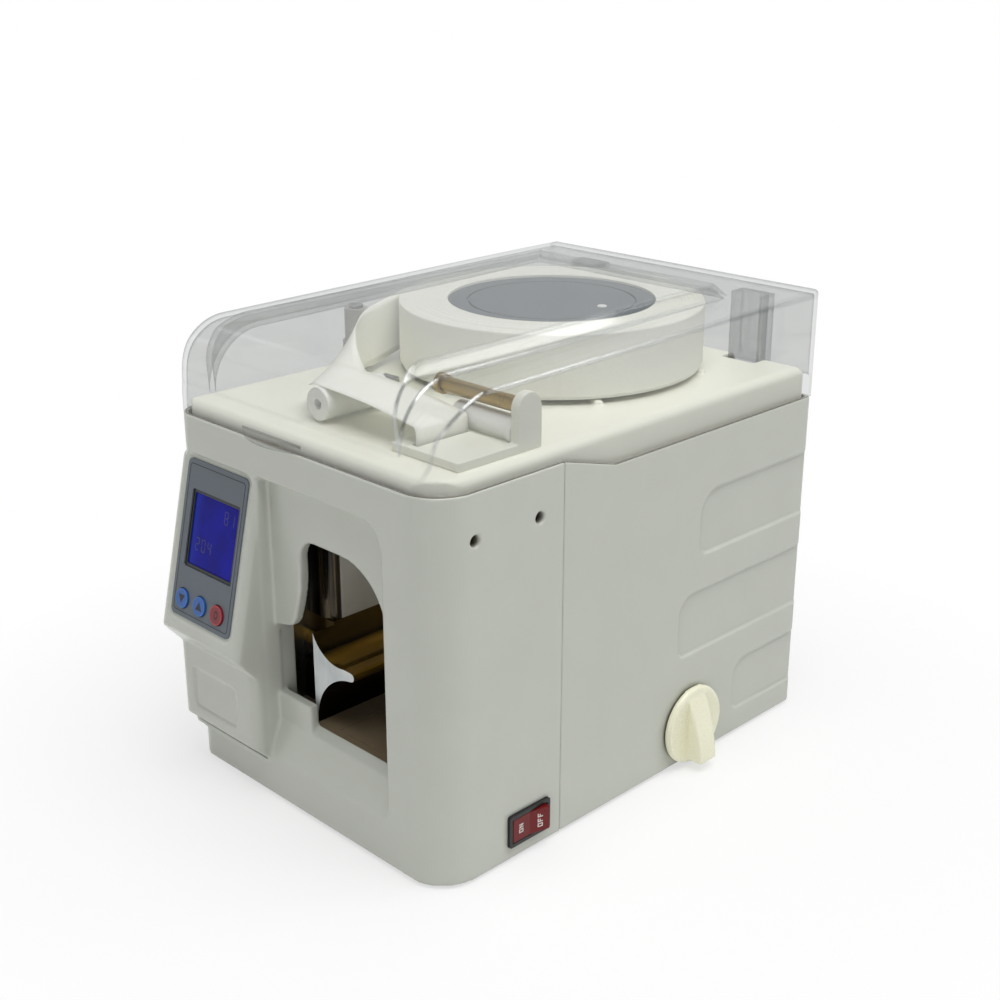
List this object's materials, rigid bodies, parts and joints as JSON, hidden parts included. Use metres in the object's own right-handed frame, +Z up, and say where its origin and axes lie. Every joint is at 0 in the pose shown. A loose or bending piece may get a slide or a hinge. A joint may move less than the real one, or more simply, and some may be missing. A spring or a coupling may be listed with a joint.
{
  "type": "banknote binding machine",
  "caption": "Desktop banknote binder: casing with a tilted control panel and an arched note opening, paper tape reel under a clear hinged lid, power rocker and hand knob.",
  "frame": {"origin": "middle of the machine's box, on the ground under its feet", "axes": "+X to the machine's right, +Y to its back, +Z up"},
  "size_m": [0.2496, 0.356, 0.296],
  "materials": {
    "casing": "moulded, glossy",
    "deck": "moulded, satin",
    "knob": "moulded, satin",
    "black_plastic": "moulded",
    "overlay": "printed film",
    "display": "back-lit",
    "key_blue": "moulded",
    "key_red": "moulded",
    "rocker_red": "moulded",
    "board": "printed circuit",
    "steel": "plain",
    "polished": "polished",
    "dark_steel": "glossy",
    "grey_steel": "satin",
    "brass": "turned",
    "iron": "laminated",
    "winding": "taped",
    "rubber": "matte",
    "clear": "clear, polished",
    "paper": "wound paper",
    "white_plastic": "moulded",
    "grey_plastic": "moulded"
  },
  "bodies": {
    "base": {"base_tray": "casing", "rubber_feet": "rubber", "front_shell": "casing", "rear_shell": "casing", "top_deck": "deck", "casing_screws": "steel", "panel_overlay": "overlay", "lcd_frame": "black_plastic", "lcd_glass": "display", "control_board": "board", "switch_housing": "black_plastic", "power_inlet": "black_plastic", "left_plate": "steel", "right_plate": "steel", "tie_rods": "steel", "chassis_screws": "steel", "note_floor": "grey_steel", "note_back": "grey_steel", "left_guide": "dark_steel", "tape_guide_block": "polished", "press_bush": "brass", "seal_guide": "steel", "shaft_bushes": "brass", "motor": "dark_steel", "motor_bracket": "steel", "transformer_core": "iron", "transformer_winding": "winding", "power_board": "board", "hinge_pins": "steel", "reel_spindle": "steel", "guide_pin": "steel", "tube_pin": "steel", "feed_block": "deck", "feed_pin": "steel", "brass_rod": "brass", "paper_tape": "paper"},
    "lid": {"lid": "clear", "lid_arms": "clear"},
    "reel": {"reel_disc": "white_plastic", "reel_hub": "grey_plastic", "paper_roll": "paper"},
    "guide_post": {"guide_post": "grey_plastic"},
    "tube_roller": {"tube_roller": "white_plastic"},
    "feed_roller": {"feed_roller": "white_plastic"},
    "key_down": {"key_down": "key_blue"},
    "key_up": {"key_up": "key_blue"},
    "key_clear": {"key_clear": "key_red"},
    "rocker": {"rocker": "rocker_red"},
    "knob": {"hand_knob": "knob", "main_shaft": "steel", "drive_gear": "white_plastic", "timing_disc": "black_plastic"},
    "pinion": {"motor_pinion": "brass"},
    "press": {"press_table": "grey_steel"},
    "sealer": {"seal_head": "brass", "cutter_blade": "steel"}
  },
  "joints": [
    {"name": "lid_hinge", "type": "hinge", "parent": "base", "child": "lid", "pos_m": [0, 0.1725, 0.228], "axis": [-1, 0, 0], "range_deg": [0, 95]},
    {"name": "reel_spin", "type": "hinge", "parent": "base", "child": "reel", "pos_m": [-0.01875, 0.06301, 0.245], "axis": [0, 0, 1], "continuous": true},
    {"name": "guide_post_spin", "type": "hinge", "parent": "base", "child": "guide_post", "pos_m": [-0.10075, -0.03, 0.257], "axis": [0, 0, 1], "continuous": true},
    {"name": "tube_roller_spin", "type": "hinge", "parent": "base", "child": "tube_roller", "pos_m": [-0.02275, -0.104, 0.251], "axis": [0, 1, 0], "continuous": true},
    {"name": "feed_roller_spin", "type": "hinge", "parent": "base", "child": "feed_roller", "pos_m": [0.06625, -0.074, 0.2495], "axis": [1, 0, 0], "continuous": true},
    {"name": "key_down_press", "type": "slide", "parent": "base", "child": "key_down", "axis": [0, 0.9744, -0.225], "range_m": [0, 0.0008], "stiffness_N_per_m": 800, "springref_m": -0.0005},
    {"name": "key_up_press", "type": "slide", "parent": "base", "child": "key_up", "axis": [0, 0.9744, -0.225], "range_m": [0, 0.0008], "stiffness_N_per_m": 800, "springref_m": -0.0005},
    {"name": "key_clear_press", "type": "slide", "parent": "base", "child": "key_clear", "axis": [0, 0.9744, -0.225], "range_m": [0, 0.0008], "stiffness_N_per_m": 800, "springref_m": -0.0005},
    {"name": "rocker_tilt", "type": "hinge", "parent": "base", "child": "rocker", "pos_m": [0.10625, -0.086, 0.0202], "axis": [0, 0, 1], "range_deg": [0, 14]},
    {"name": "knob_turn", "type": "hinge", "parent": "base", "child": "knob", "pos_m": [0.10725, 0.061, 0.028], "axis": [1, 0, 0], "continuous": true},
    {"name": "pinion_spin", "type": "hinge", "parent": "base", "child": "pinion", "pos_m": [0.03725, 0.07329, 0.04928], "axis": [1, 0, 0], "continuous": true},
    {"name": "press_lift", "type": "slide", "parent": "base", "child": "press", "axis": [0, 0, 1], "range_m": [0, 0.012]},
    {"name": "seal_stroke", "type": "slide", "parent": "base", "child": "sealer", "axis": [-1, 0, 0], "range_m": [0, 0.006]}
  ],
  "couplings": [
    {"joint": "pinion_spin", "follows": "knob_turn", "ratio": -2}
  ]
}
